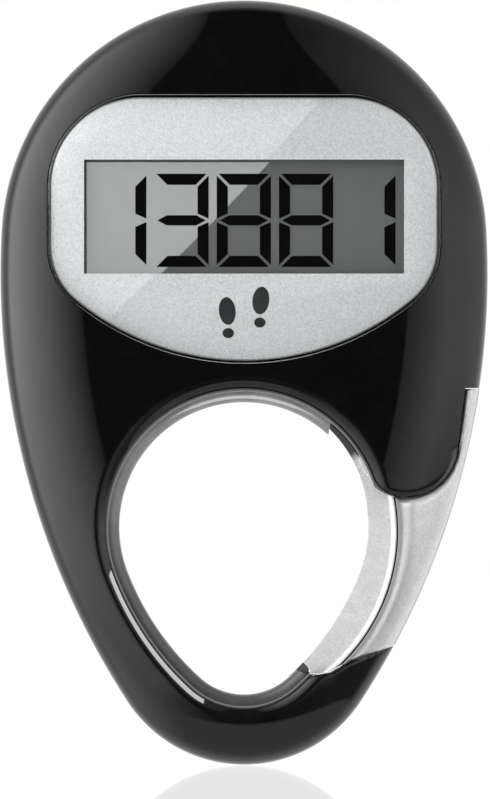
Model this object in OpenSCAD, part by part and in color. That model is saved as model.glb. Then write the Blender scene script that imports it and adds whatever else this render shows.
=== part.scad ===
// Clip-on electronic counter: an egg-shaped body with a display pod above
// and an open eye below, closed on the right by a sprung gate like a
// carabiner's. Millimetres. +X right, +Z up, the front faces -Y. The origin
// is the centre of the eye's round upper part, halfway through the thickness.

/* [Body] */
// Height of the body from tip to crown
body_h = 80; // [74:0.5:98]
// Width of the body at its widest
body_w = 51; // [50:0.5:62]
// Thickness of the body at the middle
body_t = 12; // [12:0.1:15]
// Corner radius of the tip
tip_r = 14.6; // [12:0.1:16]
// Thickness of the moulded shell's wall
wall = 1.4; // [1.2:0.1:1.6]

/* [Eye] */
// Radius of the eye's round upper part
eye_r = 13.05; // [12:0.05:13.6]
// Width of the hook below the eye
hook_w = 7.35; // [7:0.05:9]
// How far the inner ridge stands out from the eye's wall
ridge = 1.15; // [0.9:0.05:1.4]

/* [Gate] */
// Radius of the nose that covers the gate's pivot
lobe_r = 5.45; // [5.2:0.05:5.9]
// Radius of the pivot pin
pin_r = 1; // [0.8:0.05:1.2]
// Radial clearance of the gate on its pin
pin_fit = 0.05; // [0.02:0.01:0.1]
// Gap between the gate and the shells
gate_gap = 0.2; // [0.12:0.02:0.3]
// Angle that the gate swings in
gate_swing = 24; // [15:1:24]

/* [Display] */
// Height of the face plate
plate_h = 27.4; // [26:0.1:30]
// Width of the silver face plate
plate_w = 40.28; // [38:0.02:41]
// Black band between the crown and the top of the face plate
crown_band = 10.29; // [10:0.01:12]
// Height of the display window
window_h = 11.9; // [10:0.1:12.5]
// Width of the display window
window_w = 33.38; // [30:0.02:33.6]
// Gap round the lens
lens_fit = 0.1; // [0.05:0.01:0.2]

/* [Battery] */
// Radius of the coin cell
cell_r = 10; // [8:0.1:10]
// Thickness of the coin cell
cell_t = 3.2; // [2:0.1:3.2]
// Radial clearance of the battery door
door_fit = 0.1; // [0.05:0.01:0.15]

/* [Button] */
// Radius of the reset button
button_r = 1.8; // [1.5:0.1:2]
// Radial clearance of the reset button
button_fit = 0.08; // [0.04:0.01:0.1]
// Travel of the reset button
button_travel = 0.35; // [0.2:0.05:0.4]

/* [Hidden] */
$fn = 48;

half_t = body_t / 2;
zb = -(1.343 * eye_r + hook_w);
zt = zb + body_h;
belt = 0.6;

// An egg outline is [top radius, top centre, side centre x, side centre z,
// side radius, side start angle, side end angle, tip radius, tip centre].
function egg(r1, z1, a1, r3, z3) =
    let (p = r1 - r3, v = z1 - z3,
        q = (v * v - p * p) / (2 * (p - v * sin(a1))),
        cx = -q * cos(a1), cz = z1 + q * sin(a1))
    [r1, z1, cx, cz, r1 + q, a1, atan2(cz - z3, -cx), r3, z3];

function arc(cx, cz, r, a, b, n) =
    [for (i = [0:n]) let (t = a + (b - a) * i / n)
        [cx + r * cos(t), cz + r * sin(t)]];

function inner(list) = [for (i = [1:len(list) - 2]) list[i]];
function tail(list) = [for (i = [1:len(list) - 1]) list[i]];
function mirrored(list) =
    [for (i = [len(list) - 1:-1:0]) [-list[i][0], list[i][1]]];

// Right half of an egg outline moved inwards by d, from crown to tip
function egg_half(e, d) = concat(
    arc(0, e[1], e[0] - d, 90, -e[5], 14),
    tail(arc(e[2], e[3], e[4] - d, -e[5], -e[6], 10)),
    tail(arc(0, e[8], e[7] - d, -e[6], -90, 8)));
function egg_points(e, d) = concat(egg_half(e, d), inner(mirrored(egg_half(e, d))));

body_r = body_w / 2 - 0.08;
shoulder_a = -3.2;
body_egg = egg(body_r, zt - body_r, shoulder_a, tip_r, zb + tip_r);
eye_egg = egg(eye_r, 0, 21.2, 0.527 * eye_r, -0.816 * eye_r);
pod_z = zt - body_r;

// Height of the flank above the parting plane at distance d from the edge
function flank(d, reach, p) =
    belt + (half_t - belt) * pow(1 - pow(1 - min(d, reach) / reach, p), 1 / p);
front_reach = 11.5;
rear_reach = 7;
front_p = 2.4;
rear_p = 2.2;

// Solid with the egg's outline whose rings are [inset, height] pairs
module egg_loft(e, rings, side) {
    n = len(egg_points(e, 0));
    m = len(rings);
    points = [for (k = [0:m - 1]) for (p = egg_points(e, rings[k][0]))
        [p[0], side * rings[k][1], p[1]]];
    around = [for (k = [0:m - 2]) for (i = [0:n - 1]) let (j = (i + 1) % n)
        [k * n + i, k * n + j, (k + 1) * n + j, (k + 1) * n + i]];
    caps = [[for (i = [n - 1:-1:0]) i], [for (i = [0:n - 1]) (m - 1) * n + i]];
    turned = [for (f = concat(around, caps))
        side > 0 ? [for (i = [len(f) - 1:-1:0]) f[i]] : f];
    polyhedron(points, turned, convexity = 6);
}

function body_rings(reach, p) = concat([[0, 0]],
    [for (k = [0:7]) let (d = reach * pow(k / 7, 1.8)) [d, flank(d, reach, p)]]);

module front_body() egg_loft(body_egg, body_rings(front_reach, front_p), -1);
module rear_body() egg_loft(body_egg, body_rings(rear_reach, rear_p), 1);

// Extrudes an outline drawn in x and z between two depths y0 < y1
module slab(y0, y1)
    translate([0, y1, 0]) rotate([90, 0, 0]) linear_extrude(y1 - y0) children();
module rod(x, z, r, y0, y1)
    translate([x, y1, z]) rotate([90, 0, 0]) cylinder(r = r, h = y1 - y0);
module ring(x, z, r_out, r_in, y0, y1)
    slab(y0, y1) translate([x, z]) difference() {
        circle(r_out);
        circle(r_in);
    }
// Turned solid with a spherical cap of radius r_cap on the side that faces
// side * -Y: its crown lies at y_top and its flat end at y_flat
module dome(x, z, y_top, y_flat, r, r_cap, side) {
    span = asin(r / r_cap);
    profile = concat([[0, abs(y_flat - y_top)]],
        [for (i = [0:8]) let (a = span * i / 8) [r_cap * sin(a), r_cap * (1 - cos(a))]],
        [[r, abs(y_flat - y_top)]]);
    translate([x, y_top, z]) rotate([-side * 90, 0, 0])
        rotate_extrude($fn = 72) polygon(profile);
}
module block(x, y, z, size)
    translate([x, y, z]) translate(-size / 2) cube(size);

module egg_shape(e, d) polygon(egg_points(e, d));

// Gate: pivot, nose and the outline of the space that the gate fills
pivot_r = eye_r + 5.87;
px = pivot_r * cos(27);
pz = pivot_r * sin(27);
lean = 7.1;
strip_len = 6.7;
gate_top = pz - lobe_r * sin(lean) + strip_len * cos(lean);
knuckle_r = 5;
pocket_r = 6.25;
ridge_end_r = 8.1;
ledge_t = 1.2;
knuckle_y = 1.6;
pocket_y = 1.8;
ridge_y = 1.4;
rim_r = 2.2;

// Hook end, from the outside inwards: x and z in eye radii, and the angle
// that the outline faces
hook_end = [[2.45, -0.52, -71], [1.226, -0.943, -71], [0.851, -1.073, -66],
    [0.69, -1.163, -66], [0.594, -1.182, -85], [0.535, -1.179, -120],
    [0.5, -1.12, -160]];

module gate_zone(m) {
    end = [for (h = hook_end) eye_r * [h[0], h[1]] + m * [cos(h[2]), sin(h[2])]];
    polygon(concat([[px, pz], [px, gate_top + m], [2.45 * eye_r, gate_top + m]],
        end, [[0, -0.6 * eye_r], [0, 0.3 * eye_r]]));
}

// Part of the ridge that the gate's tip sweeps through as it swings in
module tip_sweep() {
    tip = eye_r * [hook_end[5][0], hook_end[5][1]];
    intersection() {
        translate([px, pz]) circle(norm(tip - [px, pz]) + gate_gap, $fn = 96);
        translate([0, -1.5 * eye_r]) square([eye_r, 0.7 * eye_r]);
    }
}

// Nose outline grown by m: a circle on the pivot and the body above it
module nose_shape(m) {
    r = lobe_r + m;
    foot = [px + r * cos(lean), pz - r * sin(lean)];
    translate([px, pz]) circle(r);
    polygon([[px, pz], foot, foot + 14 * [sin(lean), cos(lean)],
        [px - lobe_r, gate_top + 6], [px - lobe_r, pz]]);
}

// All that is cut from the ridge: the gate's space, its sweep and the knuckle
module ridge_gap() {
    gate_zone(gate_gap / 2);
    translate([px, pz]) circle(ridge_end_r);
    tip_sweep();
}

cover_cx = -0.25 * eye_r;
cover_cz = -0.034 * eye_r;
cover_r = 1.485 * eye_r;

// Outline of the gate's outer bar, between its inner edge and the outside
module bar_shape() difference() {
    intersection() {
        egg_shape(body_egg, 0);
        gate_zone(-gate_gap / 2);
    }
    nose_shape(gate_gap);
    translate([cover_cx, cover_cz]) circle(cover_r - 1.5);
}

// Turned solid about the bar's centre that rounds its inner edge
module bar_rounding(side) {
    depth = half_t + 1;
    edge = half_t - rim_r - 0.4;
    translate([cover_cx, 0, cover_cz]) rotate([-side * 90, 0, 0])
        rotate_extrude($fn = 96) polygon(concat(
            [[60, ridge_y], [60, depth], [cover_r + rim_r, depth]],
            arc(cover_r + rim_r, edge, rim_r, 90, 180, 8),
            [[cover_r, ridge_y]]));
}

// Space that the knuckle and web need between the two noses
module gate_pocket() {
    stop_a = 122 - gate_swing - 7.6;
    slab(-pocket_y, pocket_y) translate([px, pz]) circle(pocket_r);
    slab(-pocket_y, pocket_y) polygon(concat([[px, pz]],
        arc(px, pz, 7.5, stop_a, 131, 6)));
    slab(-pocket_y, pocket_y) polygon(concat([[px, pz]],
        arc(px, pz, ridge_end_r, 131, 210, 12)));
    slab(-pocket_y, pocket_y) gate_zone(gate_gap / 2);
}

module shell_gate_cut(side) {
    y0 = side < 0 ? -half_t - 1 : -0.01;
    y1 = side < 0 ? 0.01 : half_t + 1;
    slab(y0, y1) difference() {
        gate_zone(gate_gap / 2);
        nose_shape(0);
    }
    gate_pocket();
}

// Rounded rim of the eye, cut through one shell
module eye_cut(side) {
    top = half_t;
    egg_loft(eye_egg, [[-ridge, -0.5], [-ridge, top - 1.7], [-ridge - 0.12, top - 1.1],
        [-ridge - 0.45, top - 0.62], [-ridge - 0.95, top - 0.38],
        [-ridge - 1.6, top + 0.05], [-ridge - 1.8, top + 1]], side);
}

// Case screws: crown, both sides of the pod, and the hook
screw_places = [[0, zt - 4.35], [body_r - 5.35, 1.54 * eye_r],
    [5.35 - body_r, 1.54 * eye_r], [0, zb + 3.65]];
screw_r = 0.85;
head_r = 1.6;
head_y = half_t - 2.6;
boss_r = 2.1;

// Pod cavity and the hollow of the left arm and hook, one depth of it
module hollow_shape(inset) difference() {
    egg_shape(body_egg, inset);
    egg_shape(eye_egg, -ridge - 1.6);
    translate([0.3 * eye_r, zb]) square([body_w, 1.32 * eye_r - zb]);
    for (p = screw_places) translate(p) circle(boss_r);
}

// Face plate outline, moved inwards by d
plate_x = plate_w / 2;
plate_top = zt - crown_band;
plate_bot = plate_top - plate_h;
// Height of the middle of the parts on the circuit board
mid_z = plate_top - 15.13;
bow_r = 1.36 * plate_x;
top_corner = 9.4;
low_corner = 7.3;
low_x = plate_x - low_corner;
low_a = acos(low_x / (bow_r - low_corner));
bow_z = plate_bot + bow_r;
low_z = bow_z - (bow_r - low_corner) * sin(low_a);
function plate_half(d) = concat(
    arc(plate_x - top_corner, plate_top - top_corner, top_corner - d, 90, 0, 8),
    arc(low_x, low_z, low_corner - d, 0, -low_a, 6),
    tail(arc(0, bow_z, bow_r - d, -low_a, -90, 8)));
module plate_shape(d)
    polygon(concat(plate_half(d), tail(mirrored(plate_half(d)))));

window_x = window_w / 2;
window_z = plate_top - 12.4;
module window_shape(grow)
    translate([-window_x - grow, window_z - window_h / 2 - grow])
        square([2 * (window_x + grow), window_h + 2 * grow]);

// Depths of the display stack, from the front inwards
lens_y = -half_t + 0.05;
plate_y = lens_y + 1.2;
tape_y = plate_y + 0.25;
deck_y = tape_y + 0.1;
glass_y = deck_y + 0.85;
board_y = glass_y + 2.65;
board_t = 0.8;
board_back = board_y + board_t;
lens_bow = 280;
lens_edge = 0.35;
lcd_x = window_x + 0.95;
lcd_h = window_h + 3.5;
lcd_t = 0.55;

// Battery, its door and the reset button
cell_z = plate_bot + 12.55;
door_r = cell_r + 1.95;
bore_r = door_r + door_fit;
sleeve_r = bore_r + 1.75;
door_y = half_t - 1.4;
lug_y = half_t - 2.4;
lug_t = 0.8;
button_z = mid_z + 16.4;
flange_r = button_r + 0.6;
inside_y = half_t - wall;
board_r = body_r - 5;
board_holes = [[11, mid_z + 15.2], [-11, mid_z + 15.2],
    [12.7, mid_z - 10.2], [-12.7, mid_z - 10.2]];

module front_shell() color([0.07, 0.07, 0.08]) {
    floor_y = glass_y - 0.05;
    difference() {
        front_body();
        eye_cut(-1);
        shell_gate_cut(-1);
        slab(-2.4, 0.01) hollow_shape(1.9);
        slab(floor_y, 0.01) intersection() {
            hollow_shape(4.3);
            translate([-body_w, 1.3 * eye_r]) square([2 * body_w, body_h]);
        }
        slab(-half_t - 1, deck_y) plate_shape(-lens_edge - lens_fit);
        slab(-half_t - 1, 0) window_shape(0.25);
        rod(px, pz, pin_r, -4.4, 0.01);
        for (p = screw_places) rod(p[0], p[1], screw_r + 0.02, -3, 0.01);
    }
    for (p = board_holes) difference() {
        rod(p[0], p[1], 1.5, floor_y - 0.1, board_y);
        rod(p[0], p[1], 0.62, board_y - 2, board_y + 0.1);
    }
}

module rear_shell() color([0.07, 0.07, 0.08]) difference() {
    union() {
        difference() {
            rear_body();
            eye_cut(1);
            shell_gate_cut(1);
            slab(-0.01, 2.4) hollow_shape(1.9);
            slab(-0.01, inside_y) intersection() {
                hollow_shape(4.6);
                translate([-body_w, 1.3 * eye_r]) square([2 * body_w, body_h]);
            }
        }
        slab(-ridge_y, ridge_y) difference() {
            egg_shape(eye_egg, -ridge + 0.05);
            egg_shape(eye_egg, 0);
            ridge_gap();
        }
        slab(0.3, ridge_y) difference() {
            egg_shape(eye_egg, -ridge - 0.2);
            egg_shape(eye_egg, -ridge + 0.1);
            ridge_gap();
        }
        slab(ridge_y + gate_gap / 2, ridge_y + ledge_t) intersection() {
            difference() {
                egg_shape(eye_egg, -ridge - 0.2);
                egg_shape(eye_egg, 0);
            }
            translate([0.36 * eye_r, -1.5 * eye_r]) square([0.16 * eye_r, 0.7 * eye_r]);
        }
        ring(0, cell_z, sleeve_r, bore_r, lug_y - 1, inside_y + 0.1);
        rod(0, button_z, flange_r + 1, inside_y - 0.5, inside_y + 0.1);
    }
    rod(0, cell_z, bore_r, lug_y - 2, half_t + 1);
    ring(0, cell_z, bore_r + 0.9, bore_r - 0.5, lug_y - 0.1, lug_y + lug_t + 0.1);
    for (a = [20, 200]) door_lug(a, 8, 0.9, lug_y - 2, half_t + 1);
    rod(px, pz, pin_r, -0.01, 4.4);
    rod(0, button_z, button_r + button_fit, 0, half_t + 1);
    rod(0, button_z, flange_r + button_fit, inside_y - 1, inside_y);
    for (p = screw_places) {
        rod(p[0], p[1], screw_r + 0.1, -0.1, half_t);
        rod(p[0], p[1], head_r + 0.1, head_y, half_t + 1);
    }
    spring_leg_slot();
}

// Sector of the door's bore between two depths, half_a each side of angle a
module door_lug(a, half_a, grow, y0, y1)
    slab(y0, y1) translate([0, cell_z]) polygon(concat(
        arc(0, 0, door_r + grow, a - half_a, a + half_a, 6),
        arc(0, 0, door_r - 0.6, a + half_a, a - half_a, 6)));

module display_lens() color([0.85, 0.9, 0.95, 0.35]) intersection() {
    slab(-half_t - 1, plate_y) plate_shape(-lens_edge);
    dome(0, (plate_top + plate_bot) / 2, lens_y, plate_y + 0.1, 34, lens_bow, 1);
}

module face_plate() color([0.82, 0.82, 0.84]) slab(plate_y, tape_y) difference() {
    plate_shape(0);
    window_shape(0);
}

module plate_adhesive() color([0.2, 0.2, 0.2]) slab(tape_y, deck_y) difference() {
    plate_shape(0.4);
    window_shape(1.2);
}

module lcd_sheet(y0, y1, x, low, high)
    slab(y0, y1) translate([-x, window_z + low]) square([2 * x, high - low]);

module lcd_front_glass() color([0.62, 0.66, 0.6, 0.6])
    lcd_sheet(glass_y, glass_y + lcd_t, lcd_x, -lcd_h / 2, lcd_h / 2);

module lcd_rear_glass() color([0.62, 0.66, 0.6, 0.6])
    lcd_sheet(glass_y + lcd_t, glass_y + 2 * lcd_t, lcd_x, 1.9 - lcd_h / 2, lcd_h / 2 - 1.9);

module lcd_reflector() color([0.66, 0.67, 0.65])
    lcd_sheet(glass_y + 2 * lcd_t, glass_y + 2 * lcd_t + 0.15,
        lcd_x - 0.2, 2.1 - lcd_h / 2, lcd_h / 2 - 2.1);

module display_holder() color([0.12, 0.12, 0.13]) difference() {
    slab(glass_y, board_y - 0.02) intersection() {
        difference() {
            translate([-lcd_x - 1.1, window_z - lcd_h / 2 - 1.1])
                square([2 * lcd_x + 2.2, lcd_h + 2.2]);
            translate([-lcd_x - 0.1, window_z - lcd_h / 2 - 0.1])
                square([2 * lcd_x + 0.2, lcd_h + 0.2]);
        }
        egg_shape(body_egg, 4.45);
    }
    for (p = board_holes) rod(p[0], p[1], 1.6, glass_y - 1, board_y + 1);
}

module zebra_strips() color([0.9, 0.55, 0.65]) for (s = [-1, 1])
    block(0, (glass_y + lcd_t + board_y) / 2, window_z + s * (lcd_h / 2 - 0.95),
        [2 * lcd_x - 3, board_y - glass_y - lcd_t - 0.04, 1.5]);

module circuit_board() color([0.05, 0.3, 0.16]) slab(board_y, board_back) difference() {
    translate([0, pod_z]) circle(board_r);
    translate([-body_w, -body_h]) square([2 * body_w, body_h + 1.35 * eye_r]);
    for (p = screw_places) translate(p) circle(boss_r + 0.35);
    for (p = board_holes) translate(p) circle(0.8);
}

module controller_blob() color([0.04, 0.04, 0.04])
    dome(board_r - 4.6, mid_z + 4, board_back + 1.2, board_back, 3, 4.5, -1);

module motion_sensor() color([0.1, 0.1, 0.11]) {
    block(4 - board_r, board_back + 0.5, mid_z + 5, [3, 0.9, 3]);
    for (s = [-1, 1]) for (k = [-1:1])
        block(4 - board_r + 1.6 * s, board_back + 0.1, mid_z + 5 + 0.8 * k, [0.5, 0.2, 0.4]);
}

module timing_crystal() color([0.75, 0.76, 0.78]) {
    x = board_r - 5.2;
    translate([x, board_back + 1.02, mid_z - 5.8]) cylinder(r = 1, h = 5);
    for (s = [-1, 1])
        translate([x + 0.35 * s, board_back + 0.2, mid_z - 6.9]) cylinder(r = 0.15, h = 2);
    for (s = [-1, 1])
        translate([x + 0.35 * s, board_back + 1.02, mid_z - 6.9]) rotate([90, 0, 0])
            cylinder(r = 0.15, h = 1);
}

// Chip parts in a column on the board's left side
module chip_column(count, x, z, size) for (i = [0:count - 1])
    block(x, board_back + size[1] / 2, z - 1.5 * i, size);

module chip_capacitors() color([0.72, 0.6, 0.45])
    chip_column(4, 3.3 - board_r, mid_z + 1.5, [1.6, 0.8, 0.8]);

module chip_resistors() color([0.12, 0.12, 0.14]) {
    chip_column(3, 5.6 - board_r, mid_z + 1.5, [1.6, 0.45, 0.8]);
    chip_column(2, board_r - 2.6, mid_z - 3, [1.6, 0.45, 0.8]);
}

switch_y = board_back + 1.2;
module reset_switch() color([0.78, 0.78, 0.8]) difference() {
    block(0, (board_back + switch_y) / 2, button_z, [3.2, switch_y - board_back, 3.2]);
    rod(0, button_z, 0.95, board_back + 0.4, switch_y + 1);
}

module reset_plunger() color([0.2, 0.2, 0.22])
    rod(0, button_z, 0.85, board_back + 0.45 + button_travel, switch_y + 0.4);

module reset_button() color([0.5, 0.5, 0.52]) {
    rod(0, button_z, button_r, inside_y - 0.6, half_t - 0.1);
    rod(0, button_z, flange_r, inside_y - 0.6, inside_y - 0.03);
    rod(0, button_z, 1, switch_y + 0.4, inside_y - 0.5);
}

module battery_holder() color([0.85, 0.85, 0.82]) difference() {
    union() {
        ring(0, cell_z, cell_r + 0.75, cell_r + 0.12, board_back, lug_y - 0.4);
        for (a = [60, 120, 240, 300])
            rod((cell_r + 0.7) * cos(a), cell_z + (cell_r + 0.7) * sin(a), 0.7,
                board_back, lug_y - 1.4);
    }
    rod(0, cell_z, cell_r + 0.12, board_back - 1, lug_y + 1);
    block(cell_r, board_back + 2, cell_z, [6, 8, 4.6]);
}

cell_y = door_y - 0.1 - cell_t;
module battery_cell() color([0.8, 0.81, 0.82]) {
    rod(0, cell_z, cell_r, cell_y + 0.35, cell_y + cell_t);
    rod(0, cell_z, cell_r - 1.2, cell_y, cell_y + 0.36);
}

module battery_plus_contact() color([0.82, 0.78, 0.6]) {
    block(cell_r + 0.2, (board_back + lug_y - 0.6) / 2, cell_z,
        [0.2, lug_y - 0.6 - board_back, 3.8]);
    block(cell_r + 1, board_back + 0.1, cell_z, [1.8, 0.2, 3.8]);
}

module battery_minus_contact() color([0.82, 0.78, 0.6]) {
    ring(0, cell_z, 4, 1.6, board_back, board_back + 0.2);
    for (a = [90, 210, 330])
        translate([0, board_back + 0.1, cell_z]) rotate([0, a, 0]) {
            translate([3.2, -0.1, -0.9]) cube([3.6, 0.2, 1.8]);
            translate([5.8, 0.4, 0]) rotate([90, 0, 0])
                cylinder(r = 0.7, h = 0.5);
        }
    for (a = [90, 210, 330])
        translate([0, board_back + 0.1, cell_z]) rotate([0, a, 0])
            translate([5.8, 0.3, 0]) rotate([-90, 0, 0])
                cylinder(r = 0.4, h = cell_y - board_back - 0.45);
}

seal_r = 0.35;
module battery_door() color([0.09, 0.09, 0.1]) difference() {
    union() {
        rod(0, cell_z, door_r, door_y, half_t);
        ring(0, cell_z, door_r, door_r - 0.85, lug_y, door_y + 0.1);
        for (a = [50, 230]) door_lug(a, 6.5, 0.75, lug_y, lug_y + lug_t);
    }
    ring(0, cell_z, door_r + 1, door_r - 0.7, half_t - 0.95, half_t - 0.15);
    block(0, half_t, cell_z, [11, 1.3, 1.5]);
    block(0, half_t, cell_z + door_r - 1.6, [0.6, 0.5, 1.6]);
}

module door_seal() color([0.25, 0.25, 0.27])
    translate([0, half_t - 0.55, cell_z]) rotate([90, 0, 0])
        rotate_extrude($fn = 72) translate([door_r - 0.32, 0]) circle(seal_r, $fn = 20);

// Upper end of the inner band, which runs up past the knuckle inside the ring
module band_end() intersection() {
    egg_shape(eye_egg, -ridge + gate_gap / 2);
    translate([px, pz]) circle(ridge_end_r - gate_gap / 2);
    polygon([[0, 0], [2 * eye_r, 0.4 * eye_r], [eye_r, 2 * eye_r]]);
}

// Eye outline that widens towards the upper end of the band
band_thin = 0.55;
band_low_a = 8;
band_top_a = 48;
module band_inside() {
    egg_shape(eye_egg, 0);
    polygon(concat([[0, 0]], [for (a = [band_low_a:4:band_top_a + 16])
        (eye_r + band_thin * (a - band_low_a) / (band_top_a - band_low_a))
            * [cos(a), sin(a)]]));
}

// The gate's middle layer: inner band, web, knuckle and stop lug
module gate_middle() difference() {
    union() {
        slab(-ridge_y, ridge_y) difference() {
            union() {
                intersection() {
                    egg_shape(body_egg, 0);
                    gate_zone(-gate_gap / 2);
                }
                band_end();
            }
            band_inside();
        }
        rod(px, pz, knuckle_r, -knuckle_y, knuckle_y);
        slab(-knuckle_y, knuckle_y) polygon(concat([[px, pz]],
            arc(px, pz, 7.2, 115, 129, 3)));
    }
    rod(px, pz, pin_r + pin_fit, -3, 3);
    ring(px, pz, 3.1, 1.75, -1.1, 3);
    slab(-0.9, -0.3) translate([px, pz]) polygon([[1.9, 0.45], [1.9, -0.45],
        [4.4, -0.45], [4.4, 0.45]]);
    for (p = peg_places) rod(p[0], p[1], peg_r + 0.02, -2, 0.6);
}

peg_r = 0.7;
peg_places = [for (a = [4, -24]) [cover_cx, cover_cz] + (cover_r + 2) * [cos(a), sin(a)]];

module gate_bar(side, y0, y1) intersection() {
    if (side < 0) front_body();
    if (side > 0) rear_body();
    slab(y0, y1) bar_shape();
    bar_rounding(side);
}

module gate_lever() color([0.8, 0.8, 0.82]) {
    gate_middle();
    gate_bar(1, ridge_y - 0.05, half_t + 1);
}

module gate_front_cover() color([0.86, 0.86, 0.88]) {
    gate_bar(-1, -half_t - 1, -ridge_y);
    for (p = peg_places) rod(p[0], p[1], peg_r, -ridge_y - 0.5, 0.5);
}

module gate_pivot_pin() color([0.75, 0.76, 0.78]) rod(px, pz, pin_r, -4.35, 4.35);

wire_r = 0.25;
coil_r = 2.4;
module gate_spring() color([0.7, 0.7, 0.72]) {
    for (k = [0:4]) translate([px, -0.6 + 0.45 * k, pz]) rotate([90, 0, 0])
        rotate_extrude() translate([coil_r, 0]) circle(wire_r, $fn = 16);
    translate([px + coil_r, -0.6, pz]) rotate([0, 90, 0]) cylinder(r = wire_r, h = 1.9, $fn = 16);
    translate([px, 1.2, pz + coil_r]) rotate([-90, 0, 0]) cylinder(r = wire_r, h = 1.9, $fn = 16);
}

// Curved slot in the rear nose for the spring's long leg as the gate swings
module spring_leg_slot() {
    grow = wire_r + 0.12;
    slab(0, 3.4) translate([px, pz]) polygon(concat(
        arc(0, 0, coil_r + grow, 98, 82 - gate_swing, 6),
        arc(0, 0, coil_r - grow, 82 - gate_swing, 98, 6)));
}

module case_screws() color([0.6, 0.6, 0.62]) for (p = screw_places) difference() {
    union() {
        rod(p[0], p[1], screw_r, -2.9, head_y + 0.1);
        rod(p[0], p[1], head_r, head_y + 0.02, head_y + 1.2);
    }
    for (a = [0, 90]) translate([p[0], head_y + 1.2, p[1]]) rotate([0, a, 0])
        block(0, 0, 0, [1.8, 1, 0.35]);
}

module board_screws() color([0.6, 0.6, 0.62]) for (p = board_holes) difference() {
    union() {
        rod(p[0], p[1], 0.6, board_y - 1.9, board_back + 0.1);
        rod(p[0], p[1], 1.15, board_back, board_back + 0.7);
    }
    block(p[0], board_back + 0.7, p[1], [3, 0.5, 0.3]);
}

front_shell();
rear_shell();
display_lens();
face_plate();
plate_adhesive();
lcd_front_glass();
lcd_rear_glass();
lcd_reflector();
display_holder();
zebra_strips();
circuit_board();
controller_blob();
motion_sensor();
timing_crystal();
chip_capacitors();
chip_resistors();
reset_switch();
reset_plunger();
reset_button();
battery_holder();
battery_cell();
battery_plus_contact();
battery_minus_contact();
battery_door();
door_seal();
gate_lever();
gate_front_cover();
gate_pivot_pin();
gate_spring();
case_screws();
board_screws();
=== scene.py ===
import math
import bmesh
import bpy
import numpy as np
from mathutils import Matrix, Vector


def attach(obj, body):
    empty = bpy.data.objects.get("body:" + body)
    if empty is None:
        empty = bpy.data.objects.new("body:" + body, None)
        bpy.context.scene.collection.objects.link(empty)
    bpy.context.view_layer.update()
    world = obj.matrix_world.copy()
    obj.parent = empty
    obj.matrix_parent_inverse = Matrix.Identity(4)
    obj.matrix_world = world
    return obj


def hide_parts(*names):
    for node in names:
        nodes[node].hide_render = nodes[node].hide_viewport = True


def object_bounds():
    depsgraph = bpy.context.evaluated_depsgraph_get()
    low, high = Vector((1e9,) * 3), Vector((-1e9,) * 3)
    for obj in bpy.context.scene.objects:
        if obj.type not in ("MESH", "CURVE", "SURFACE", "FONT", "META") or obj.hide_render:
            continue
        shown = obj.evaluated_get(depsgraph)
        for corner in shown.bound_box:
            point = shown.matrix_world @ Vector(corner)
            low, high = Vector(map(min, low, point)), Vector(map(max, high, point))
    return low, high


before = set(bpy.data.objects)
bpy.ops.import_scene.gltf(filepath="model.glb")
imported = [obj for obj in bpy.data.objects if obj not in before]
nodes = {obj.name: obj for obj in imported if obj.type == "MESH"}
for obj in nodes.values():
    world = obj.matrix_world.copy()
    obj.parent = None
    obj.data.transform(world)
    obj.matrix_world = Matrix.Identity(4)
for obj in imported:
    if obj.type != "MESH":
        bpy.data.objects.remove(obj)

cad_low, cad_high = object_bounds()

# Camera: a long lens, straight in front of the counter and level with the
# middle of the case, so that the outline shows hardly any perspective.
view_centre = (0.0001, 0.01335)
view_height = 0.08366
lens_mm = 600.0
sensor_mm = 36.0
camera_data = bpy.data.cameras.new("front_camera")
camera_data.type = 'PERSP'
camera_data.lens = lens_mm
camera_data.sensor_fit = 'VERTICAL'
camera_data.sensor_height = sensor_mm
camera_data.clip_start, camera_data.clip_end = 0.1, 50.0
camera = bpy.data.objects.new("front_camera", camera_data)
camera.location = (view_centre[0], -view_height * lens_mm / sensor_mm, view_centre[1])
camera.rotation_euler = (math.radians(90), 0, 0)
bpy.context.scene.collection.objects.link(camera)
bpy.context.scene.camera = camera
bpy.context.scene.view_settings.view_transform = 'Standard'


# Front shell: black gloss ABS moulding, domed towards its edge. It is clamped
# to the rear shell by four screws, and it holds the display and the lens.
# Sizes are in millimetres: x to the right, y to the back, z up.
MM = 0.001
half_t = 6.0
body_w = 51.0
body_h = 80.0
eye_r = 13.05
ridge = 1.15          # wall round the eye to the ridge's crest
gap = 0.1             # play round the gate
seam = -0.02          # the shells come closer to the gate than its play
belt = 0.6            # upright part of the outer wall
rim_width = 1.6       # round of the eye's edge
dome_width, dome_power = 11.5, 2.4
zb = -(1.343 * eye_r + 7.35)
zt = zb + body_h
body_r = body_w / 2 - 0.08
pod_z = zt - body_r
tip_r = 14.6


def cosd(a):
    return np.cos(np.radians(a))


def sind(a):
    return np.sin(np.radians(a))


def egg(r1, z1, a1, r3, z3):
    """Crown arc, two side arcs and tip arc, each tangent to the next."""
    p, v = r1 - r3, z1 - z3
    q = (v * v - p * p) / (2 * (p - v * sind(a1)))
    cx, cz = -q * cosd(a1), z1 + q * sind(a1)
    return r1, z1, cx, cz, r1 + q, a1, math.degrees(math.atan2(cz - z3, -cx)), r3, z3


body_egg = egg(body_r, pod_z, -3.2, tip_r, zb + tip_r)
eye_egg = egg(eye_r, 0.0, 21.2, 0.527 * eye_r, -0.816 * eye_r)


def egg_depth(e, x, z):
    """Distance inside an egg outline; it is negative outside."""
    x = np.abs(x)
    turn = np.degrees(np.arctan2(z - e[3], x - e[2]))
    crown = e[0] - np.hypot(x, z - e[1])
    side = e[4] - np.hypot(x - e[2], z - e[3])
    tip = e[7] - np.hypot(x, z - e[8])
    return np.where(turn > -e[5], crown, np.where(turn < -e[6], tip, side))


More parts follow.
